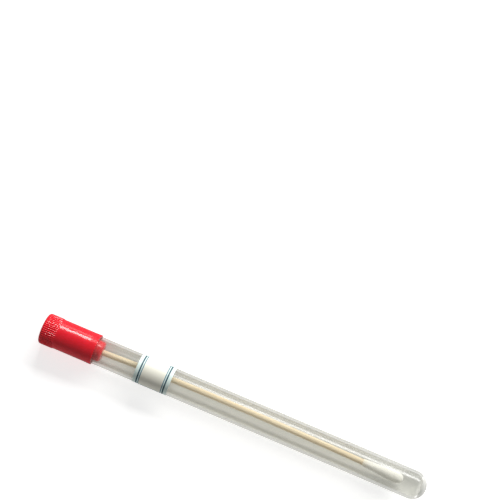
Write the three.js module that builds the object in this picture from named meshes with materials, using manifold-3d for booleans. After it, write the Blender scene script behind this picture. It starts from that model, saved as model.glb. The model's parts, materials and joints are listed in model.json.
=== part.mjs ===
// Specimen swab tube: a frosted polypropylene tube with a round bottom, closed by a push-on cap.
// The cap's stem holds a wooden swab, so pulling the cap off draws the swab out with it.
// Millimetres. The tube lies along X on the plane Z = 0, cap towards -X, round bottom towards +X.
// It rests on a rib of the wider cap and on the round bottom, so its axis slopes by 0.26 degrees.

import * as THREE from "three";
import { mergeVertices } from "three/addons/utils/BufferGeometryUtils.js";
import Module from "manifold-3d";

const wasm = await Module();
wasm.setup();

// Swab
const swabLength = 150; // from the stick's end in the cap to the crown of the cotton
const stickRadius = 1.25;
const stickBow = 1.15; // how far the wood bends to one side at its widest
const bowRise = 0.05; // share of the free length over which the wood leaves the axis
const bowPlace = 0.27; // share of the free length at which the bend pulls hardest
const budLength = 18;
const budRadius = 2.45;
const budNeckWall = 0.35; // cotton around the stick where the winding starts
const budCrown = 3; // cotton past the end of the stick
const budOffset = 0.5; // how far off the tube's axis the winding starts
const budFit = 0.1; // around the stick
const budEndFit = 0.3; // past the end of the stick
const budShape = [
  [0.82, 0.28], // shares of the cotton's radius and of its length
  [1, 0.66],
  [0.84, 0.89],
  [0.45, 0.98],
];

// Tube
const tubeRadius = 6;
const tubeWall = 1; // at the mouth
const tubeDraft = 0.2; // how much narrower the bore's radius is at the bottom
const bottomWall = 1.15;
const bottomSpace = 9; // free length between the cotton and the bottom
const mouthEdge = 0.2;

// Cap
const capLength = 24;
const capEndWall = 1.6;
const capEndEdge = 1.1;
const capFit = 0.05; // between the skirt and the tube
const skirtWall = 0.45;
const skirtFlare = 0.1; // the skirt widens by this at its rim
const flareLength = 5;
const rimEdge = 0.14;
const seatDepth = 11.5; // how far the tube goes in
const seatStep = 0.7; // width of the step that stops the tube's mouth
const stemGap = 1.3; // between the stem and the tube's bore
const stemReach = 3; // how far the stem stands out past the rim
const stemEdge = 0.35;
const socketDepth = 14.5;
const socketFit = 0.06; // around the stick
const socketLead = 0.25; // chamfer at the socket's mouth
const bandLength = 6.5;
const ribCount = 48;
const ribHeight = 0.22;
const ribCrest = 0.26; // width of a rib's top
const ribRoot = 0.34; // width of the floor between two ribs
const ribRun = 0.35; // length over which a rib's end falls to the skirt

// Label
const labelLength = 15.4; // along the tube
const labelGirth = 22; // around the tube
const labelStart = 19; // from the cap's rim
const labelThickness = 0.12;
const labelCorner = 0.8;
const labelGlue = 0.02;

// Facets
const roundSteps = 48; // around the tube and the cap
const bottomSteps = 10; // from the tube's wall to the middle of its bottom
const capEdgeSteps = 5;
const edgeSteps = 3; // in a small rounding
const budSteps = 32;
const budLengthSteps = 18;
const stickSides = 20;
const stickSteps = 44;
const labelSteps = 26; // around the tube, between the label's corners
const labelCornerSteps = 4;

// Places along the tube, from the cap's closed end
const mouthAt = capLength - seatDepth;
const stemEndAt = capLength + stemReach;
const socketEndAt = stemEndAt - socketDepth;
const crownAt = socketEndAt + swabLength;
const budAt = crownAt - budLength;
const tubeLength = crownAt + bottomSpace + bottomWall - mouthAt;
const totalLength = mouthAt + tubeLength;

// Radii that follow from the fits
const boreRadius = tubeRadius - tubeWall;
const skirtBore = tubeRadius + capFit;
const skirtRadius = skirtBore + skirtWall;
const ribRadius = skirtRadius + ribHeight;
const stemRadius = boreRadius - stemGap;
const socketRadius = stickRadius + socketFit;

// A round stretch of a profile, as points around (x, y) between two angles in degrees.
function arc(x, y, radius, fromDegrees, toDegrees, steps) {
  return Array.from({ length: steps + 1 }, (_, i) => {
    const angle = THREE.MathUtils.degToRad(fromDegrees + ((toDegrees - fromDegrees) * i) / steps);
    return new THREE.Vector2(x + radius * Math.cos(angle), y + radius * Math.sin(angle));
  });
}

function point(x, y) {
  return new THREE.Vector2(x, y);
}

function around(radius, angle) {
  return point(radius * Math.cos(angle), radius * Math.sin(angle));
}

// Turns a profile around the Y axis, with a flat facet facing straight down once the tube lies.
function turned(profile, steps) {
  const onAxis = profile.map((p) => point(Math.abs(p.x) < 1e-9 ? 0 : p.x, p.y));
  return new THREE.LatheGeometry(onAxis, steps, Math.PI / steps);
}

function toSolid(geometry) {
  const bare = geometry.clone();
  bare.deleteAttribute("normal");
  bare.deleteAttribute("uv");
  const merged = mergeVertices(bare);
  const corners = merged.index.array;
  const kept = [];
  for (let i = 0; i < corners.length; i += 3) {
    const [a, b, c] = corners.slice(i, i + 3);
    if (a !== b && b !== c && c !== a) kept.push(a, b, c);
  }
  return new wasm.Manifold(
    new wasm.Mesh({
      numProp: 3,
      vertProperties: new Float32Array(merged.attributes.position.array),
      triVerts: new Uint32Array(kept),
    }),
  );
}

function toGeometry(solid) {
  const mesh = solid.getMesh();
  const geometry = new THREE.BufferGeometry();
  geometry.setAttribute("position", new THREE.BufferAttribute(mesh.vertProperties, 3));
  geometry.setIndex(new THREE.BufferAttribute(mesh.triVerts, 1));
  geometry.computeVertexNormals();
  return geometry;
}

// The tube: a thin wall with a slight draft inside, a flat mouth and a round bottom.
function tubeGeometry() {
  const innerEnd = boreRadius - tubeDraft;
  const profile = [
    ...arc(0, tubeLength - bottomWall - innerEnd, innerEnd, 90, 0, bottomSteps - 1),
    point(boreRadius, mouthEdge),
    point(boreRadius + mouthEdge, 0),
    ...arc(tubeRadius - mouthEdge, mouthEdge, mouthEdge, -90, 0, edgeSteps),
    ...arc(0, tubeLength - tubeRadius, tubeRadius, 0, 90, bottomSteps),
  ];
  return turned(profile, roundSteps);
}

// The outline of the ribbed band, with a groove at each quarter.
function ribOutline() {
  const pitch = (2 * Math.PI) / ribCount;
  const root = ribRoot / skirtRadius / 2;
  const crest = ribCrest / ribRadius / 2;
  const corners = [];
  for (let i = 0; i < ribCount; i += 1) {
    const groove = i * pitch;
    const rib = groove + pitch / 2;
    corners.push(around(skirtRadius, groove - root), around(skirtRadius, groove + root));
    corners.push(around(ribRadius, rib - crest), around(ribRadius, rib + crest));
  }
  return new THREE.Path([...corners, corners[0]]);
}

// The cap, moulded in one piece: closed end, ribbed band, thin skirt over the tube, an inner step
// that stops the tube's mouth, and a stem down the middle with a blind socket for the stick. The
// ribs are what is left of a thicker band once a sleeve with their outline has been taken off it.
function capGeometry() {
  const envelope = ribRadius + ribHeight;
  const stepRadius = tubeRadius - seatStep;
  const rim = skirtRadius + skirtFlare;
  const profile = [
    point(0, 0),
    ...arc(ribRadius - capEndEdge, capEndEdge, capEndEdge, -90, 0, capEdgeSteps),
    point(envelope, capEndEdge + ribHeight),
    point(envelope, bandLength - ribRun),
    point(skirtRadius, bandLength + ribRun),
    point(skirtRadius, capLength - flareLength),
    ...arc(rim - rimEdge, capLength - rimEdge, rimEdge, 0, 90, edgeSteps),
    point(skirtBore + rimEdge, capLength),
    point(skirtBore, capLength - rimEdge),
    point(skirtBore, mouthAt),
    point(stepRadius, mouthAt),
    point(stepRadius, capEndWall),
    point(stemRadius, capEndWall),
    ...arc(stemRadius - stemEdge, stemEndAt - stemEdge, stemEdge, 0, 90, edgeSteps),
    point(socketRadius + socketLead, stemEndAt),
    point(socketRadius, stemEndAt - socketLead),
    point(socketRadius, socketEndAt),
    point(0, socketEndAt),
  ];
  const ribEnd = bandLength + ribRun;
  const sleeve = new THREE.Shape();
  sleeve.absarc(0, 0, 2 * ribRadius, 0, 2 * Math.PI);
  sleeve.holes.push(ribOutline());
  const cutter = new THREE.ExtrudeGeometry(sleeve, { depth: 2 * ribEnd, bevelEnabled: false });
  cutter.rotateX(-Math.PI / 2);
  cutter.translate(0, -ribEnd, 0);
  return toGeometry(toSolid(turned(profile, roundSteps)).subtract(toSolid(cutter)));
}

// The stick's line: straight in the socket, bowed to one side, then straight in the cotton.
const freeLength = budAt - stemEndAt;
const bowEnd = new THREE.Vector3(-budOffset, budAt, 0);
const bowPull = new THREE.Vector3(-2 * stickBow, stemEndAt + freeLength * bowPlace, 0);
const budLine = bowEnd.clone().sub(bowPull).normalize();
const stickEnd = bowEnd.clone().addScaledVector(budLine, budLength - budCrown);

function stickGeometry() {
  const socketEnd = new THREE.Vector3(0, socketEndAt, 0);
  const stemEnd = new THREE.Vector3(0, stemEndAt, 0);
  const easeOut = new THREE.Vector3(0, stemEndAt + freeLength * bowRise, 0);
  const line = new THREE.CurvePath();
  line.add(new THREE.LineCurve3(socketEnd, stemEnd));
  line.add(new THREE.CubicBezierCurve3(stemEnd, easeOut, bowPull, bowEnd));
  line.add(new THREE.LineCurve3(bowEnd, stickEnd));
  const section = new THREE.Shape().absarc(0, 0, stickRadius, 0, 2 * Math.PI);
  return new THREE.ExtrudeGeometry(section, {
    steps: stickSteps,
    curveSegments: stickSides / 2,
    extrudePath: line,
  });
}

// The cotton: wound from a thin neck to a blunt teardrop, with a blind bore for the stick.
function budGeometry() {
  const boreEnd = budLength - budCrown + budEndFit;
  const outer = new THREE.SplineCurve([
    point(stickRadius + budNeckWall, 0),
    ...budShape.map(([across, along]) => point(across * budRadius, along * budLength)),
    point(0, budLength),
  ]);
  const profile = [
    point(0, boreEnd),
    point(stickRadius + budFit, boreEnd),
    point(stickRadius + budFit, 0),
    ...outer.getPoints(budLengthSteps),
  ];
  return turned(profile, budSteps);
}

// The label: a strip of paper with rounded corners, wrapped around the top of the tube.
function labelGeometry() {
  const inner = tubeRadius + labelGlue;
  const columns = [];
  for (let i = 0; i <= labelCornerSteps; i += 1) {
    columns.push(labelCorner * (1 - Math.cos((i * Math.PI) / (2 * labelCornerSteps))));
  }
  for (let i = 1; i < labelSteps; i += 1) {
    columns.push(labelCorner + ((labelGirth - 2 * labelCorner) * i) / labelSteps);
  }
  for (let i = labelCornerSteps; i >= 0; i -= 1) {
    columns.push(labelGirth - columns[i]);
  }
  const last = columns.length - 1;
  const strip = new THREE.BoxGeometry(last, labelLength, labelThickness, last, 1, 1);
  const place = strip.attributes.position;
  for (let i = 0; i < place.count; i += 1) {
    const along = columns[Math.round(place.getX(i) + last / 2)];
    const edge = Math.min(along, labelGirth - along, labelCorner);
    const half = labelLength / 2 - labelCorner + Math.sqrt(edge * (2 * labelCorner - edge));
    const radius = inner + labelThickness / 2 + place.getZ(i);
    const angle = (along - labelGirth / 2) / inner;
    place.setXYZ(
      i,
      radius * Math.sin(angle),
      Math.sign(place.getY(i)) * half,
      radius * Math.cos(angle),
    );
  }
  strip.computeVertexNormals();
  return strip;
}

function piece(name, geometry, finish) {
  const mesh = new THREE.Mesh(geometry, new THREE.MeshStandardMaterial(finish));
  mesh.name = name;
  return mesh;
}

const tube = piece("tube", tubeGeometry(), {
  color: 0xdcdcd2,
  roughness: 0.55,
  metalness: 0,
  transparent: true,
  opacity: 0.45,
});
tube.position.y = mouthAt;

const cap = piece("cap", capGeometry(), { color: 0xd8303c, roughness: 0.35, metalness: 0 });
cap.rotation.y = Math.PI / ribCount; // the cap is turned until a rib, not a groove, is lowest

const stick = piece("swab_stick", stickGeometry(), { color: 0xe6cfa2, roughness: 0.7, metalness: 0 });

const bud = piece("cotton_bud", budGeometry(), { color: 0xf6f5ee, roughness: 0.95, metalness: 0 });
bud.position.copy(bowEnd);
bud.rotation.z = Math.atan2(-budLine.x, budLine.y);

const label = piece("label", labelGeometry(), { color: 0xf8f8f2, roughness: 0.75, metalness: 0 });
label.position.y = capLength + labelStart + labelLength / 2;

// Built standing on the cap's closed end, then laid down. The lowest rib's top touches the floor
// at the band's end, and the tube touches it where its round bottom starts.
const ribRest = ribRadius * Math.cos(ribCrest / ribRadius / 2);
const tubeRest = tubeRadius * Math.cos(Math.PI / roundSteps);
const slope = Math.atan((ribRest - tubeRest) / (totalLength - tubeRadius - bandLength));
const swabTube = new THREE.Group();
swabTube.add(tube, label, cap, stick, bud);
swabTube.rotation.set(0, slope, -Math.PI / 2);
swabTube.position.z = ribRest * Math.cos(slope) + bandLength * Math.sin(slope);
const bounds = new THREE.Box3().setFromObject(swabTube, true);
swabTube.position.x = -(bounds.min.x + bounds.max.x) / 2;

const part = new THREE.Group();
part.add(swabTube);

export default part;
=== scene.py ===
# Specimen swab tube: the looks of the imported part, in metres
import json
import math

import bpy
from mathutils import Matrix, Vector


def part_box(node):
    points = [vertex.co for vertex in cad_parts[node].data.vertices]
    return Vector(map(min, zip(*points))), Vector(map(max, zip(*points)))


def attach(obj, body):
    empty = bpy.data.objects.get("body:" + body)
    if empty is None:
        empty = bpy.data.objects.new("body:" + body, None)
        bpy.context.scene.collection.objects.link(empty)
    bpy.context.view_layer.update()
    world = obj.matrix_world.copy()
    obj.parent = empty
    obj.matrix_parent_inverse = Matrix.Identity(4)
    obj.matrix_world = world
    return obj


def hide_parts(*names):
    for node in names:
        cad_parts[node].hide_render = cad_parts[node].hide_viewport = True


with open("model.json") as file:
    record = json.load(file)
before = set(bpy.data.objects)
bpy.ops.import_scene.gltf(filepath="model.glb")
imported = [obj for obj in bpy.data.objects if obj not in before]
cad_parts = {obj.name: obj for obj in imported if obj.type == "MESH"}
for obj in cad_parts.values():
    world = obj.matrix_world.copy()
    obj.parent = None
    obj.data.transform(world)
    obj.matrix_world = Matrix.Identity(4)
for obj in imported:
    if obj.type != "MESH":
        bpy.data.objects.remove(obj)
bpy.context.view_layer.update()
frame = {"nodes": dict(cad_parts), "record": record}
mm = 0.001

# the axis starts in the middle of the cap's closed end and slopes down a little along X
capEnd = frame["record"]["mounts"][0]
closedEnd = Vector(capEnd["pos_m"])
along = -Vector(capEnd["axis"]).normalized()
side = Vector((0, 1, 0))
up = along.cross(side)
restPlace = Matrix.Translation(closedEnd) @ Matrix((along, side, up)).transposed().to_4x4()

tubeLow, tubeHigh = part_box("tube")
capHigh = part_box("cap")[1]
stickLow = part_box("swab_stick")[0]
budLow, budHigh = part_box("cotton_bud")
labelLow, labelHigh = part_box("label")
weldGap = 0.002 * mm     # vertices nearer than this are one


def distance(x, radius=0.0):
    # from the closed end along the axis, for a round edge of that radius whose lowest x this is
    return (x - closedEnd.x + radius * up.x) / along.x


tubeRadius = tubeHigh.y
mouth = distance(tubeLow.x, tubeRadius)      # the tube's open end, inside the cap
tubeEnd = distance(tubeHigh.x)               # its round bottom
print("frame loaded:", sorted(frame["nodes"]))


# small helpers

def linear(hexText):
    # an sRGB colour such as "EE1B2E" as the linear, opaque one that sockets take
    values = [int(hexText[i:i + 2], 16) / 255 for i in (0, 2, 4)]
    return [v / 12.92 if v <= 0.04045 else ((v + 0.055) / 1.055) ** 2.4 for v in values] + [1.0]


def addNode(tree, kind, links=None, values=None, **settings):
    # one node: settings are its own fields, values its sockets, links its sockets fed by other sockets
    node = tree.nodes.new(kind)
    for name, value in settings.items():
        setattr(node, name, value)
    for name, value in (values or {}).items():
        node.inputs[name].default_value = value
    for name, socket in (links or {}).items():
        tree.links.new(socket, node.inputs[name])
    return node


def newMaterial(name):
    material = bpy.data.materials.new(name)
    material.use_nodes = True
    tree = material.node_tree
    return material, tree, tree.nodes["Principled BSDF"]


def mixed(tree, share, first, second):
    # two shaders in one, with that socket's share of the second
    return addNode(tree, "ShaderNodeMixShader", {0: share, 1: first.outputs[0], 2: second.outputs[0]})


def dress(piece, material):
    piece.data.materials.clear()
    piece.data.materials.append(material)


def pickOnly(piece):
    if bpy.context.object and bpy.context.object.mode == "EDIT":
        bpy.ops.object.mode_set(mode="OBJECT")
    bpy.ops.object.select_all(action="DESELECT")
    if piece:
        piece.select_set(True)
        bpy.context.view_layer.objects.active = piece


def editOnly(piece, selected=False):
    pickOnly(piece)
    bpy.ops.object.mode_set(mode="EDIT")
    bpy.ops.mesh.select_mode(type="VERT")
    bpy.ops.mesh.select_all(action="SELECT" if selected else "DESELECT")


def pickVertices(piece, rule):
    # selects the vertices whose place the rule accepts, and goes back to edit mode
    bpy.ops.mesh.select_all(action="DESELECT")
    bpy.ops.object.mode_set(mode="OBJECT")
    for vertex in piece.data.vertices:
        vertex.select = rule(vertex.co)
    bpy.ops.object.mode_set(mode="EDIT")


def applyModifiers(piece):
    pickOnly(piece)
    for modifier in list(piece.modifiers):
        bpy.ops.object.modifier_apply(modifier=modifier.name)


def smooth(piece, degrees=32):
    pickOnly(piece)
    bpy.ops.object.shade_smooth_by_angle(angle=math.radians(degrees))


def layDown(piece, place=restPlace):
    # pieces are made level, from the closed end at the origin, and then laid along the tube's own axis
    pickOnly(piece)
    piece.matrix_world = place
    bpy.ops.object.transform_apply(location=True, rotation=True, scale=True)


def mergedCopy(node, name):
    piece = bpy.data.objects.new(name, frame["nodes"][node].data.copy())
    bpy.context.scene.collection.objects.link(piece)
    editOnly(piece, selected=True)
    bpy.ops.mesh.remove_doubles(threshold=weldGap)
    bpy.ops.object.mode_set(mode="OBJECT")
    return piece


def arc(x, r, radius, fromDegrees, toDegrees, steps):
    # round stretch of an outline, as (place along the axis, distance from it)
    turns = [math.radians(fromDegrees + (toDegrees - fromDegrees) * i / steps) for i in range(steps + 1)]
    return [(x + radius * math.cos(a), max(0.0, r + radius * math.sin(a))) for a in turns]


def evenly(start, end, parts):
    # points between the two ends of a straight stretch, and the second end
    return [(start[0] + (end[0] - start[0]) * i / parts, start[1] + (end[1] - start[1]) * i / parts)
            for i in range(1, parts + 1)]


def turnOutline(name, outline, steps):
    # a vertex is pulled along the outline, and the line is spun around the axis
    pickOnly(None)
    bpy.ops.mesh.primitive_plane_add(size=mm, location=(outline[0][0], 0, outline[0][1]))
    piece = bpy.context.object
    piece.name = piece.data.name = name
    bpy.ops.object.transform_apply(location=True, rotation=True, scale=True)
    editOnly(piece, selected=True)
    bpy.ops.mesh.merge(type="CENTER")
    for (x0, r0), (x1, r1) in zip(outline, outline[1:]):
        bpy.ops.mesh.extrude_region_move(TRANSFORM_OT_translate={"value": (x1 - x0, 0, r1 - r0)})
    bpy.ops.mesh.select_all(action="SELECT")
    bpy.ops.mesh.spin(steps=steps, angle=2 * math.pi, center=(0, 0, 0), axis=(1, 0, 0))
    bpy.ops.mesh.select_all(action="SELECT")
    bpy.ops.mesh.remove_doubles(threshold=weldGap)
    bpy.ops.mesh.normals_make_consistent(inside=False)
    bpy.ops.object.mode_set(mode="OBJECT")
    return piece


# camera: looks down on the lying tube from the side of its own lower edge

camera = {
    "lens": 90,          # mm on the 36 mm sensor
    "distance": 0.532,
    "elevation": 80.3,   # degrees above the floor
    "turn": -22.9,       # degrees, so that the tube runs down to the right
    "aimBack": 0.0259,   # the aim is this far towards the cap from the tube's middle
    "aimAside": 0.0642,  # and this far beyond it, so that the tube lies low in the frame
}


def addCamera():
    data = bpy.data.cameras.new("camera")
    data.lens = camera["lens"]
    data.clip_start = 0.01
    eye = bpy.data.objects.new("camera", data)
    bpy.context.scene.collection.objects.link(eye)
    turn = math.radians(camera["turn"])
    lift = math.radians(camera["elevation"])
    look = Vector((math.sin(turn) * math.cos(lift), math.cos(turn) * math.cos(lift), -math.sin(lift)))
    aim = Vector(((tubeLow.x + tubeHigh.x) / 2 - camera["aimBack"], camera["aimAside"], closedEnd.z))
    eye.location = aim - look * camera["distance"]
    eye.rotation_euler = look.to_track_quat("-Z", "Y").to_euler()
    bpy.context.scene.camera = eye


addCamera()
bpy.context.scene.view_settings.view_transform = "Standard"
print("camera placed")


# tube: frosted polypropylene

tube = {
    "bore": 5.0 * mm,        # radius at the mouth
    "draft": 0.2 * mm,       # the bore narrows by this towards the bottom
    "bottomWall": 1.15 * mm,
    "mouthEdge": 0.2 * mm,
    "steps": 128,
    "milk": "E1E1DD",        # what the matt skin scatters
    "shade": "DDDDD8",       # what the bore scatters
    "clear": "FCFCFB",       # what one face of the wall lets through
    "murkAndPaintedShade": "CDCDCB",        # what the far wall's bore lets through: partly the wall's own absorption, partly painted shade for the tube's shadow on the floor beneath
    "skinPaintedShade": "CCCCCA",    # painted shade: the darker tint through which the eye sees past the far wall's skin, standing for the tube's shadow on the floor; lamps' light doesn't take it
    "haze": 0.08,            # share of the light that the matt skin scatters, seen head on
    "hazeSpread": 0.1,       # it varies by this share of itself either way
    "edgeHaze": 0.7,         # what is added where the wall is seen edge on
    "edgeFall": 2.0,         # power at which that fades towards the middle
    "through": 0.75,         # share of the scattered light that comes from inside the tube
    "boreHaze": 0.5,         # scattered by the far wall's bore, seen head on
    "boreEdgeHaze": 0.3,
    "boreThrough": 0.2,
    "spread": 0.34,          # share of a lamp's light that the skin spreads as it comes in
    "glowThrough": 0.8,      # how much of that share goes on inwards
    "shine": 0.22,           # roughness of the matt skin
    "gloss": (0.05, 0.12),   # its strength head on and at the very edge
    "glossFall": 5.0,
    # sizes of the patterns: the haze's slight unevenness and the slow waves in the skin
    "cloudSize": 11.11 * mm,
    "waveSize": 6.25 * mm,
}


def milkyLight(tree, colour, through):
    # what the milky plastic scatters: some of the light that falls on it, and the rest comes through it
    front = addNode(tree, "ShaderNodeBsdfDiffuse", values={"Color": linear(colour)})
    behind = addNode(tree, "ShaderNodeBsdfTranslucent", values={"Color": linear(colour)})
    return addNode(tree, "ShaderNodeMixShader", {1: front.outputs[0], 2: behind.outputs[0]}, {0: through})


def mattSkin():
    # the outside of the mould was blasted: what lies behind shows through a haze that glows with the light
    # inside the tube and closes where the wall is seen edge on, and the lamps spread into a soft gloss
    material, tree, unused = newMaterial("frosted polypropylene")
    tree.nodes.remove(unused)
    place = addNode(tree, "ShaderNodeTexCoord")
    milk = milkyLight(tree, tube["milk"], tube["through"])
    edgeOn = addNode(tree, "ShaderNodeLayerWeight", values={"Blend": 0.5}).outputs["Facing"]
    closing = addNode(tree, "ShaderNodeMath", {0: edgeOn}, {1: tube["edgeFall"]}, operation="POWER")
    clouds = addNode(tree, "ShaderNodeTexNoise", {"Vector": place.outputs["Object"]},
                     {"Scale": 1 / tube["cloudSize"], "Detail": 3, "Roughness": 0.6})
    haze = addNode(tree, "ShaderNodeMapRange", {"Value": clouds.outputs["Fac"]},
                   {"To Min": tube["haze"] * (1 - tube["hazeSpread"]),
                    "To Max": tube["haze"] * (1 + tube["hazeSpread"])})
    share = addNode(tree, "ShaderNodeMath", {0: closing.outputs[0], 2: haze.outputs["Result"]},
                    {1: tube["edgeHaze"]}, operation="MULTIPLY_ADD", use_clamp=True)
    clear = addNode(tree, "ShaderNodeBsdfTransparent", values={"Color": linear(tube["clear"])})
    wall = mixed(tree, share.outputs[0], clear, milk)
    waves = addNode(tree, "ShaderNodeTexNoise", {"Vector": place.outputs["Object"]},
                    {"Scale": 1 / tube["waveSize"], "Detail": 2})
    flow = addNode(tree, "ShaderNodeBump", {"Height": waves.outputs["Fac"]},
                   {"Strength": 0.15, "Distance": 0.1 * mm})
    gloss = addNode(tree, "ShaderNodeBsdfGlossy", {"Normal": flow.outputs["Normal"]},
                    {"Roughness": tube["shine"]})
    grazing = addNode(tree, "ShaderNodeMath", {0: edgeOn}, {1: tube["glossFall"]}, operation="POWER")
    headOn, atEdge = tube["gloss"]
    mirror = addNode(tree, "ShaderNodeMapRange", {"Value": grazing.outputs[0]},
                     {"To Min": headOn, "To Max": atEdge})
    outer = mixed(tree, mirror.outputs["Result"], wall, gloss)
    # lamps' light that comes in through the skin is partly spread, so that nothing in the tube has a hard
    # shadow; the eye looks out through the far wall's skin without that glow, through a darker tint that is
    # painted shade for the tube's shadow on the floor beneath
    glow = addNode(tree, "ShaderNodeMixShader",
                   {1: clear.outputs[0], 2: milkyLight(tree, tube["milk"], tube["glowThrough"]).outputs[0]},
                   {0: tube["spread"]})
    looking = addNode(tree, "ShaderNodeLightPath").outputs["Is Camera Ray"]
    # painted shade: a darker see-through tint, for camera rays only
    tintWithPaintedShade = addNode(tree, "ShaderNodeBsdfTransparent", values={"Color": linear(tube["skinPaintedShade"])})
    inner = mixed(tree, looking, glow, tintWithPaintedShade)
    leaving = addNode(tree, "ShaderNodeNewGeometry").outputs["Backfacing"]
    skin = mixed(tree, leaving, outer, inner)
    tree.links.new(skin.outputs[0], tree.nodes["Material Output"].inputs["Surface"])
    return material


def smoothBore():
    # the core of the mould was polished: the near wall's bore is clear, and the far wall's catches the light
    # that comes in through the near one; what lies past it shows through a darker tint, partly the wall's
    # absorption and partly painted shade; it casts no shade of its own
    material, tree, unused = newMaterial("polypropylene bore")
    tree.nodes.remove(unused)
    milk = milkyLight(tree, tube["shade"], tube["boreThrough"])
    clear = addNode(tree, "ShaderNodeBsdfTransparent", values={"Color": linear(tube["clear"])})
    # partly the wall's absorption, partly painted shade for the tube's shadow on the floor
    tintWithPaintedShade = addNode(tree, "ShaderNodeBsdfTransparent", values={"Color": linear(tube["murkAndPaintedShade"])})
    edgeOn = addNode(tree, "ShaderNodeLayerWeight", values={"Blend": 0.5}).outputs["Facing"]
    haze = addNode(tree, "ShaderNodeMath", {0: edgeOn},
                   {1: tube["boreEdgeHaze"], 2: tube["boreHaze"]}, operation="MULTIPLY_ADD", use_clamp=True)
    wall = mixed(tree, haze.outputs[0], tintWithPaintedShade, milk)
    leaving = addNode(tree, "ShaderNodeNewGeometry").outputs["Backfacing"]
    fromLamp = addNode(tree, "ShaderNodeLightPath").outputs["Is Shadow Ray"]
    passing = addNode(tree, "ShaderNodeMath", {0: leaving, 1: fromLamp}, operation="MAXIMUM")
    skin = mixed(tree, passing.outputs[0], wall, clear)
    tree.links.new(skin.outputs[0], tree.nodes["Material Output"].inputs["Surface"])
    return material


def makeTube():
    bore, edge = tube["bore"], tube["mouthEdge"]
    boreEnd = bore - tube["draft"]
    outline = arc(tubeEnd - tube["bottomWall"] - boreEnd, 0, boreEnd, 0, 90, 20)
    outline += [(mouth + edge, bore), (mouth, bore + edge)]
    outline += arc(mouth + edge, tubeRadius - edge, edge, 180, 90, 4)
    outline += arc(tubeEnd - tubeRadius, 0, tubeRadius, 90, 0, 28)
    piece = turnOutline("tube_wall", outline, tube["steps"])
    smooth(piece)
    dress(piece, mattSkin())
    piece.data.materials.append(smoothBore())
    boreTip = tubeEnd - 0.9 * tube["bottomWall"]      # a little past the bore's end, still inside the wall
    for face in piece.data.polygons:
        if math.hypot(face.center.y, face.center.z) < bore and face.center.x < boreTip:
            face.material_index = 1
    layDown(piece)
    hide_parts("tube")
    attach(piece, "tube_body")
    print("tube made:", len(piece.data.polygons), "faces")


makeTube()


# cap: red polyethylene moulding

cap = {
    "length": 24 * mm,       # closed end to rim
    "endEdge": 1.1 * mm,
    "endWall": 1.6 * mm,
    "bandLength": 6.5 * mm,
    "ribs": 48,
    "ribHeight": 0.22 * mm,
    "ribRun": 0.35 * mm,     # a rib's end falls to the skirt over this
    "flare": 0.1 * mm,       # the rim is wider than the skirt by this
    "flareLength": 3 * mm,
    "hold": 0.12 * mm,       # extra rings this far from a bend keep the straight stretches flat
    "rimEdge": 0.14 * mm,
    "skirtWall": 0.45 * mm,
    "seatStep": 0.7 * mm,
    "stemRadius": 4.4 * mm,
    "stemEdge": 1.2 * mm,
    "socketRadius": 1.31 * mm,
    "socketLead": 0.25 * mm,
    "gateRadius": 1.0 * mm,  # dimple that the moulding gate leaves in the closed end
    "gateDepth": 0.12 * mm,
    "colour": "EE1B2E",
    "deepColour": "DA1526",
    "shine": 0.3,            # roughness under the gloss
    "shineSpread": 0.07,     # it varies by this much either way
    "coat": 0.75,            # the soft gloss that is left by a polished mould
    "coatShine": 0.09,
    "glowDepth": 1.5 * mm,   # how far light enters the plastic
    # sizes of the patterns: the colour's slight unevenness, the thin wall's waves, and the scuffs, which are
    # really hairlines, too fine to show, and so are drawn coarser
    "cloudSize": 4.545 * mm,
    "waveSize": 7.692 * mm,
    "scuffSize": 0.6667 * mm,
}


def redPolyethylene():
    # moulded polyethylene is waxy: a deep even red that light enters a little way, under a soft gloss
    # with fine scuffs and the slow waves of a thin wall
    material, tree, shader = newMaterial("red polyethylene")
    place = addNode(tree, "ShaderNodeTexCoord")
    clouds = addNode(tree, "ShaderNodeTexNoise", {"Vector": place.outputs["Object"]},
                     {"Scale": 1 / cap["cloudSize"], "Detail": 3, "Roughness": 0.55})
    tint = addNode(tree, "ShaderNodeMix", {"Factor": clouds.outputs["Fac"]}, data_type="RGBA")
    tint.inputs["A"].default_value = linear(cap["deepColour"])
    tint.inputs["B"].default_value = linear(cap["colour"])
    tree.links.new(tint.outputs["Result"], shader.inputs["Base Color"])
    shader.inputs["IOR"].default_value = 1.51
    shader.inputs["Specular IOR Level"].default_value = 0.3
    shader.inputs["Subsurface Weight"].default_value = 0.3
    shader.inputs["Subsurface Radius"].default_value = (1.0, 0.1, 0.08)
    shader.inputs["Subsurface Scale"].default_value = cap["glowDepth"]
    scuffs = addNode(tree, "ShaderNodeTexNoise", {"Vector": place.outputs["Object"]},
                     {"Scale": 1 / cap["scuffSize"], "Detail": 4, "Roughness": 0.6})
    shine, spread = cap["shine"], cap["shineSpread"]
    roughness = addNode(tree, "ShaderNodeMapRange", {"Value": scuffs.outputs["Fac"]},
                        {"To Min": shine - spread, "To Max": shine + spread})
    tree.links.new(roughness.outputs["Result"], shader.inputs["Roughness"])
    shader.inputs["Coat Weight"].default_value = cap["coat"]
    shader.inputs["Coat Roughness"].default_value = cap["coatShine"]
    waves = addNode(tree, "ShaderNodeTexNoise", {"Vector": place.outputs["Object"]},
                    {"Scale": 1 / cap["waveSize"], "Detail": 1})
    wall = addNode(tree, "ShaderNodeBump", {"Height": waves.outputs["Fac"]},
                   {"Strength": 0.03, "Distance": 0.1 * mm})
    skin = addNode(tree, "ShaderNodeBump",
                   {"Height": scuffs.outputs["Fac"], "Normal": wall.outputs["Normal"]},
                   {"Strength": 0.06, "Distance": 0.05 * mm})
    tree.links.new(skin.outputs["Normal"], shader.inputs["Normal"])
    tree.links.new(wall.outputs["Normal"], shader.inputs["Coat Normal"])
    return material


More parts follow.
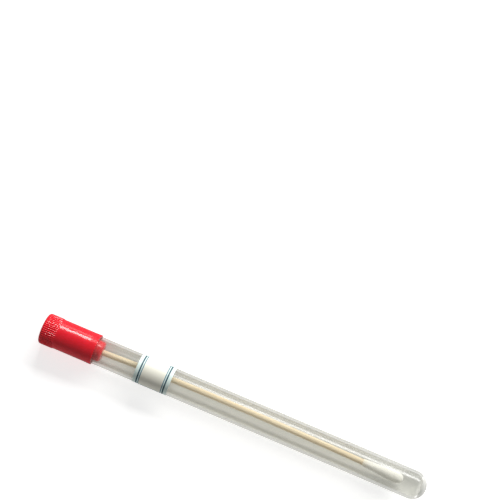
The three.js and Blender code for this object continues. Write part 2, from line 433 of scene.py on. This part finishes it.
def makeCap():
    ribRadius = capHigh.y
    skirtRadius = ribRadius - cap["ribHeight"]
    bore = skirtRadius - cap["skirtWall"]
    rim = skirtRadius + cap["flare"]
    rimAt, bandEnd = cap["length"], cap["bandLength"]
    edge, rimEdge, hold = cap["endEdge"], cap["rimEdge"], cap["hold"]
    flareAt = rimAt - cap["flareLength"]
    slope = cap["flare"] / cap["flareLength"]
    gate, gateDepth = cap["gateRadius"], cap["gateDepth"]
    stepRadius = tubeRadius - cap["seatStep"]
    stem, socket, lead = cap["stemRadius"], cap["socketRadius"], cap["socketLead"]
    stemEnd = distance(capHigh.x, -stem)
    socketEnd = distance(stickLow.x, socket)
    outline = [(gateDepth, 0), (gateDepth, gate - gateDepth), (0, gate)]
    outline += evenly((0, gate), (0, ribRadius - edge), 4)[:-1]
    outline += arc(edge, ribRadius - edge, edge, 180, 90, 10)
    outline += evenly((edge, ribRadius), (bandEnd - cap["ribRun"], ribRadius), 8)
    outline += [(bandEnd, ribRadius - cap["ribHeight"] / 3), (bandEnd + cap["ribRun"], skirtRadius)]
    outline += [(bandEnd + cap["ribRun"] + hold, skirtRadius), (flareAt - hold, skirtRadius)]
    outline += [(flareAt, skirtRadius)]
    outline += [(flareAt + hold, skirtRadius + slope * hold)]
    outline += [(rimAt - rimEdge - hold, rim - slope * (rimEdge + hold))]
    outline += arc(rimAt - rimEdge, rim - rimEdge, rimEdge, 90, 0, 5)
    outline += [(rimAt, bore + rimEdge), (rimAt - rimEdge, bore), (mouth, bore), (mouth, stepRadius)]
    outline += [(cap["endWall"], stepRadius), (cap["endWall"], stem)]
    outline += arc(stemEnd - cap["stemEdge"], stem - cap["stemEdge"], cap["stemEdge"], 90, 0, 5)
    outline += [(stemEnd, socket + lead), (stemEnd - lead, socket), (socketEnd, socket), (socketEnd, 0)]
    columns = 8      # in one rib and its groove, counted from the middle of the rib that is up
    piece = turnOutline("cap_moulding", outline, cap["ribs"] * columns)
    editOnly(piece)

    def inGroove(co, x, chosen):
        turn = math.atan2(co.y, co.z) / (2 * math.pi) * cap["ribs"] * columns
        return (abs(co.x - x) < 1e-6 and math.hypot(co.y, co.z) > skirtRadius + 1e-6
                and round(turn) % columns in chosen)

    stations = sorted({(round(x, 7), r) for x, r in outline if r > skirtRadius and x < bandEnd + 0.01 * mm})
    # the columns of a groove, and how much of the ribs' height each of them loses
    for chosen, share in (((4,), 1.0), ((3, 5), 0.95), ((2, 6), 0.4), ((1, 7), 0.04)):
        for x, r in stations:
            pickVertices(piece, lambda co: inGroove(co, x, chosen))
            size = (r - (r - skirtRadius) * share) / r
            bpy.ops.transform.resize(value=(1, size, size), center_override=(x, 0, 0))
    bpy.ops.object.mode_set(mode="OBJECT")
    smooth(piece, 40)
    layDown(piece)
    dress(piece, redPolyethylene())
    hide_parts("cap")
    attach(piece, "swab")
    print("cap made:", len(piece.data.polygons), "faces")


makeCap()


# stick: turned birch

stick = {
    "pale": "F6E9CD",
    "deep": "E3CBA2",
    "grainWidth": 0.35 * mm,     # birch's own pores are finer, too fine to show
    "grainLength": 30 * mm,
}


def turnedBirch():
    # birch dowel: pale, with long fine grain along the stick and short darker pores
    material, tree, shader = newMaterial("turned birch")
    place = addNode(tree, "ShaderNodeTexCoord")
    lengthwise, across = 1 / stick["grainLength"], 1 / stick["grainWidth"]
    drawnOut = addNode(tree, "ShaderNodeMapping", {"Vector": place.outputs["Object"]},
                       {"Scale": (lengthwise, across, across)})
    grain = addNode(tree, "ShaderNodeTexNoise", {"Vector": drawnOut.outputs["Vector"]},
                    {"Scale": 1.0, "Detail": 4, "Roughness": 0.65})
    tint = addNode(tree, "ShaderNodeValToRGB", {"Fac": grain.outputs["Fac"]})
    tint.color_ramp.elements[0].position = 0.3
    tint.color_ramp.elements[0].color = linear(stick["deep"])
    tint.color_ramp.elements[1].position = 0.62
    tint.color_ramp.elements[1].color = linear(stick["pale"])
    tree.links.new(tint.outputs["Color"], shader.inputs["Base Color"])
    shader.inputs["Roughness"].default_value = 0.6
    fibres = addNode(tree, "ShaderNodeBump", {"Height": grain.outputs["Fac"]},
                     {"Strength": 0.35, "Distance": 0.05 * mm})
    tree.links.new(fibres.outputs["Normal"], shader.inputs["Normal"])
    return material


def makeStick():
    piece = mergedCopy("swab_stick", "birch_stick")
    smooth(piece, 40)
    dress(piece, turnedBirch())
    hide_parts("swab_stick")
    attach(piece, "swab")
    print("stick made:", len(piece.data.polygons), "faces")


makeStick()


# cotton wound on the stick's end

bud = {
    "neck": 1.48 * mm,       # radius where the winding starts
    "widest": 2.45 * mm,
    # shares of the length and of the widest radius
    "shape": [(0.3, 0.75), (0.58, 0.93), (0.78, 1.0), (0.92, 0.83), (0.985, 0.47)],
    "steps": 96,
    "thinTo": 5 * mm,        # the wood shows through the winding's start up to here
    "bore": 1.35 * mm,
    "boreLead": (0.3 * mm, 0.1 * mm),    # length and height of the bore's slanted start
    "crown": 2.7 * mm,       # cotton past the bore's end
    "lean": -1.2,            # degrees, towards the axis, as the stick's end leans
    "strands": 5,            # creases that wind around the bud
    "strandPitch": 15 * mm,
    "creaseDepth": 0.07 * mm,
    "creaseBands": 24,       # from one crease to the next; a crease takes up six of them
    "creaseFrom": 0.6 * mm,  # creases run from this far past the winding's start
    "creaseTo": 0.5 * mm,    # to this far short of the bud's tip
    "lumpSize": 1.6 * mm,
    "lumpHeight": 0.16 * mm,
    "pale": "FFFEFA",
    "deep": "EDEBE2",
    # real fibres are too fine to show, so these are coarse tufts of them
    "fibreSize": 0.7143 * mm,
}


def woundCotton(start):
    # bleached cotton: white, matt and soft-edged with fine fibres, and so thin where the winding starts
    # that the wood shows through
    material, tree, shader = newMaterial("wound cotton")
    place = addNode(tree, "ShaderNodeTexCoord")
    fibres = addNode(tree, "ShaderNodeTexNoise", {"Vector": place.outputs["Object"]},
                     {"Scale": 1 / bud["fibreSize"], "Detail": 5, "Roughness": 0.7, "Distortion": 1.5})
    tint = addNode(tree, "ShaderNodeMix", {"Factor": fibres.outputs["Fac"]}, data_type="RGBA")
    tint.inputs["A"].default_value = linear(bud["deep"])
    tint.inputs["B"].default_value = linear(bud["pale"])
    axes = addNode(tree, "ShaderNodeSeparateXYZ", {"Vector": place.outputs["Object"]})
    uneven = addNode(tree, "ShaderNodeMath", {0: fibres.outputs["Fac"], 2: axes.outputs["X"]},
                     {1: bud["thinTo"]}, operation="MULTIPLY_ADD")
    thick = addNode(tree, "ShaderNodeMapRange", {"Value": uneven.outputs[0]},
                    {"From Min": start, "From Max": start + bud["thinTo"]})
    cover = addNode(tree, "ShaderNodeMix", {"Factor": thick.outputs["Result"], "B": tint.outputs["Result"]},
                    data_type="RGBA")
    cover.inputs["A"].default_value = linear(stick["pale"])
    tree.links.new(cover.outputs["Result"], shader.inputs["Base Color"])
    shader.inputs["Roughness"].default_value = 0.95
    shader.inputs["Specular IOR Level"].default_value = 0.2
    shader.inputs["Sheen Weight"].default_value = 0.3
    bump = addNode(tree, "ShaderNodeBump", {"Height": fibres.outputs["Fac"]},
                   {"Strength": 0.6, "Distance": 0.12 * mm})
    tree.links.new(bump.outputs["Normal"], shader.inputs["Normal"])
    return material


def throughPoints(points, steps):
    # smooth line through the points, with that many steps between two of them
    ends = [tuple(2 * a - b for a, b in zip(points[0], points[1]))] + points
    ends += [tuple(2 * a - b for a, b in zip(points[-1], points[-2]))]
    line = [points[0]]
    for a, b, c, d in zip(ends, ends[1:], ends[2:], ends[3:]):
        for i in range(1, steps + 1):
            t = i / steps
            line.append(tuple(0.5 * (2 * q + (r - p) * t + (2 * p - 5 * q + 4 * r - s) * t ** 2
                                     + (3 * q - p - 3 * r + s) * t ** 3)
                              for p, q, r, s in zip(a, b, c, d)))
    return line


def makeBud():
    start, end = distance(budLow.x), distance(budHigh.x)
    length = end - start
    bore = bud["bore"]
    points = [(0.0, bud["neck"])]
    points += [(length * x, bud["widest"] * r) for x, r in bud["shape"]]
    points += [(length, 0.0)]
    boreEnd = length - bud["crown"]
    leadLength, leadHeight = bud["boreLead"]
    outline = [(boreEnd, 0), (boreEnd, bore), (leadLength, bore), (0, bore + leadHeight)]
    outline += [(x, max(r, 0.0)) for x, r in throughPoints(points, 12)]
    piece = turnOutline("cotton_tip", outline, bud["steps"])
    outside = bore + 0.15 * mm       # vertices further out than this are on the winding's outer side
    editOnly(piece)
    # each crease is deepest in its middle, and shallower in the two bands on either side
    for i, depth in enumerate((1.0, 0.7, 0.35)):
        def inCrease(co):
            turn = math.atan2(co.y, co.z) / (2 * math.pi)
            away = abs(((turn + co.x / bud["strandPitch"]) * bud["strands"]) % 1 - 0.5)
            return (math.hypot(co.y, co.z) > outside
                    and bud["creaseFrom"] < co.x < length - bud["creaseTo"]
                    and int(away * bud["creaseBands"]) == i)
        pickVertices(piece, inCrease)
        bpy.ops.transform.shrink_fatten(value=-bud["creaseDepth"] * depth)
    bpy.ops.object.mode_set(mode="OBJECT")
    lumps = bpy.data.textures.new("cotton lumps", "CLOUDS")
    lumps.noise_scale = bud["lumpSize"]
    lumps.noise_depth = 2
    swell = piece.modifiers.new("lumps", "DISPLACE")
    swell.texture = lumps
    swell.texture_coords = "LOCAL"
    swell.strength = bud["lumpHeight"]
    swell.mid_level = 0.6
    applyModifiers(piece)
    smooth(piece, 60)
    # the neck lies off the axis, where the bowed stick comes in, and the bud leans back to the axis
    lean = math.radians(bud["lean"])
    offAxis = (budLow.y + budHigh.y) / 2 - bud["shape"][1][0] * length * math.tan(lean)
    layDown(piece, restPlace @ Matrix.Translation((start, offAxis, 0)) @ Matrix.Rotation(lean, 4, "Z"))
    dress(piece, woundCotton(budLow.x))
    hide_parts("cotton_bud")
    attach(piece, "swab")
    print("cotton made:", len(piece.data.polygons), "faces")


makeBud()


# label: paper with a double blue border

label = {
    "girth": 22 * mm,          # around the tube
    "thickness": 0.12 * mm,
    "corner": 0.8 * mm,
    "glue": 0.03 * mm,         # between the tube and the paper
    "column": 0.4 * mm,        # the paper is bent at lines this far apart
    "paper": "E8E6D8",
    "ink": "17495B",
    "paleInk": "2F6F86",
    "tint": "D9E9E3",          # of the paper from its edge to the fine line
    "inkEdge": 0.03 * mm,      # half the width over which ink fades into paper
    "lineIn": 1.75 * mm,       # middle of the thick line, from the edge
    "lineWidth": 0.6 * mm,
    "fineIn": 2.65 * mm,       # middle of the fine line, from the edge
    "fineWidth": 0.34 * mm,
    "lineCorner": 1.3 * mm,
    # real paper fibres are too fine to show, so these are drawn coarser
    "fibreSize": 0.4545 * mm,
}


def printedPaper(length):
    # coated label paper: smooth and white, with a pale tint at its edge and two ink lines inside it; the
    # UV map is the flat paper, and the steps below work in millimetres
    material, tree, shader = newMaterial("printed label paper")
    place = addNode(tree, "ShaderNodeTexCoord")
    size = Vector((length, label["girth"], 0)) / mm
    flat = addNode(tree, "ShaderNodeMapping", {"Vector": place.outputs["UV"]},
                   {"Scale": size, "Location": -size / 2})
    folded = addNode(tree, "ShaderNodeVectorMath", {0: flat.outputs["Vector"]}, operation="ABSOLUTE")
    corner = label["lineCorner"] / mm
    reach = size / 2 - Vector((1, 1, 0)) * (label["lineIn"] / mm + corner)
    past = addNode(tree, "ShaderNodeVectorMath", {0: folded.outputs[0]}, {1: reach}, operation="SUBTRACT")
    outside = addNode(tree, "ShaderNodeVectorMath", {0: past.outputs[0]}, {1: (0, 0, 0)},
                      operation="MAXIMUM")
    far = addNode(tree, "ShaderNodeVectorMath", {0: outside.outputs[0]}, operation="LENGTH")
    parts = addNode(tree, "ShaderNodeSeparateXYZ", {"Vector": past.outputs[0]})
    nearest = addNode(tree, "ShaderNodeMath", {0: parts.outputs["X"], 1: parts.outputs["Y"]},
                      operation="MAXIMUM")
    inside = addNode(tree, "ShaderNodeMath", {0: nearest.outputs[0]}, {1: 0.0}, operation="MINIMUM")
    fromLine = addNode(tree, "ShaderNodeMath", {0: far.outputs["Value"], 1: inside.outputs[0]},
                       operation="ADD")
    between = (label["fineIn"] - label["lineIn"]) / mm
    margin = label["lineIn"] / mm
    fade = label["inkEdge"] / mm
    # each band's middle, inwards from the thick line's, its width and its colour
    bands = (((between - margin) / 2, between + margin, label["tint"]),
             (0.0, label["lineWidth"] / mm, label["ink"]),
             (between, label["fineWidth"] / mm, label["paleInk"]))
    socket = None
    for inset, width, ink in bands:
        away = addNode(tree, "ShaderNodeMath", {0: fromLine.outputs[0]}, {1: inset - corner},
                       operation="ADD")
        off = addNode(tree, "ShaderNodeMath", {0: away.outputs[0]}, operation="ABSOLUTE")
        inked = addNode(tree, "ShaderNodeMapRange", {"Value": off.outputs[0]},
                        {"From Min": width / 2 - fade, "From Max": width / 2 + fade,
                         "To Min": 1.0, "To Max": 0.0})
        layer = addNode(tree, "ShaderNodeMix", {"Factor": inked.outputs["Result"]}, data_type="RGBA")
        layer.inputs["B"].default_value = linear(ink)
        if socket:
            tree.links.new(socket, layer.inputs["A"])
        else:
            layer.inputs["A"].default_value = linear(label["paper"])
        socket = layer.outputs["Result"]
    tree.links.new(socket, shader.inputs["Base Color"])
    shader.inputs["Roughness"].default_value = 0.5
    fibres = addNode(tree, "ShaderNodeTexNoise", {"Vector": place.outputs["Object"]},
                     {"Scale": 1 / label["fibreSize"], "Detail": 3})
    bump = addNode(tree, "ShaderNodeBump", {"Height": fibres.outputs["Fac"]},
                   {"Strength": 0.2, "Distance": 0.02 * mm})
    tree.links.new(bump.outputs["Normal"], shader.inputs["Normal"])
    return material


def makeLabel():
    start, end = distance(labelLow.x), distance(labelHigh.x)
    length, girth = end - start, label["girth"]
    radius = tubeRadius + label["glue"]
    pickOnly(None)
    bpy.ops.mesh.primitive_plane_add(size=1, location=((start + end) / 2, 0, radius))
    piece = bpy.context.object
    piece.name = piece.data.name = "paper_label"
    piece.scale = (length, girth, 1)
    bpy.ops.object.transform_apply(location=True, rotation=True, scale=True)
    editOnly(piece, selected=True)
    bpy.ops.mesh.bevel(offset=label["corner"], segments=6, affect="VERTICES")
    columns = round(girth / label["column"])
    for i in range(1, columns):
        bpy.ops.mesh.select_all(action="SELECT")
        bpy.ops.mesh.bisect(plane_co=(0, girth * (i / columns - 0.5), radius), plane_no=(0, 1, 0))
    bpy.ops.object.mode_set(mode="OBJECT")
    places = sorted({round(vertex.co.y, 7) for vertex in piece.data.vertices})
    editOnly(piece)
    for y in places:
        # each line across the paper goes to its place around the tube; those still flat are at this height
        turn = y / radius
        pickVertices(piece, lambda co: abs(co.y - y) < 2e-7 and abs(co.z - radius) < 1e-9)
        bpy.ops.transform.translate(value=(0, radius * math.sin(turn) - y, radius * (math.cos(turn) - 1)))
    bpy.ops.object.mode_set(mode="OBJECT")
    sheet = piece.modifiers.new("paper", "SOLIDIFY")
    sheet.thickness = label["thickness"]
    sheet.offset = 1
    applyModifiers(piece)
    smooth(piece, 40)
    layDown(piece)
    dress(piece, printedPaper(length))
    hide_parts("label")
    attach(piece, "tube_body")
    print("label made:", len(piece.data.polygons), "faces")


makeLabel()


# floor and light

studio = {
    "floorColour": "C4C4C3",
    "floorSize": 8,
    "floorGlow": 0.72,       # the floor is lit from below as well, which keeps shadows light
    "sky": 0.18,             # how bright the room is all around
    "backdrop": 0.9,         # how bright the space past the floor looks
    "windowHeight": 36,      # degrees above the floor, seen from the tube along Y
    "windowAway": 1.28,      # from the tube, for both lamps
    "windowFrom": -0.315,    # the ends of the window along X
    "windowTo": 1.1,
    "windowTall": 0.4,
    "windowRadiance": 14.3,
    "cardHeight": 10,        # a low pale card under the window, for the upper edges' soft gloss
    "cardTall": 0.3,
    "cardRadiance": 2.5,
}


def addWindow(name):
    # a long soft light beyond the tube's far side; the window and the card are equally long
    data = bpy.data.lights.new(name, "AREA")
    data.shape = "RECTANGLE"
    data.size = studio["windowTo"] - studio["windowFrom"]
    data.size_y = studio[name + "Tall"]
    data.energy = studio[name + "Radiance"] * math.pi * data.size * data.size_y
    lamp = bpy.data.objects.new(name, data)
    bpy.context.scene.collection.objects.link(lamp)
    height = math.radians(studio[name + "Height"])
    towards = Vector((0, math.cos(height), math.sin(height)))
    lamp.location = towards * studio["windowAway"]
    lamp.location.x = (studio["windowFrom"] + studio["windowTo"]) / 2
    lamp.rotation_euler = (-towards).to_track_quat("-Z", "Y").to_euler()


def addStudio():
    pickOnly(None)
    bpy.ops.mesh.primitive_plane_add(size=studio["floorSize"], location=(0, 0, 0))
    floor = bpy.context.object
    floor.name = "floor"
    material, tree, shader = newMaterial("pale card")
    shader.inputs["Base Color"].default_value = linear(studio["floorColour"])
    shader.inputs["Roughness"].default_value = 0.9
    shader.inputs["Specular IOR Level"].default_value = 0.1
    shader.inputs["Emission Color"].default_value = linear("FFFFFF")
    shader.inputs["Emission Strength"].default_value = studio["floorGlow"]
    dress(floor, material)
    floor.visible_glossy = False      # gloss on the undersides shows the room and not the bright floor
    world = bpy.data.worlds.new("studio")
    world.use_nodes = True
    sky = world.node_tree.nodes["Background"]
    sky.inputs["Color"].default_value = linear("FFFFFF")
    seen = addNode(world.node_tree, "ShaderNodeLightPath").outputs["Is Camera Ray"]
    strength = addNode(world.node_tree, "ShaderNodeMapRange", {"Value": seen},
                       {"To Min": studio["sky"], "To Max": studio["backdrop"]})
    world.node_tree.links.new(strength.outputs["Result"], sky.inputs["Strength"])
    bpy.context.scene.world = world
    addWindow("window")      # it makes the streak along the cap and the tube
    addWindow("card")


addStudio()
print("studio set")
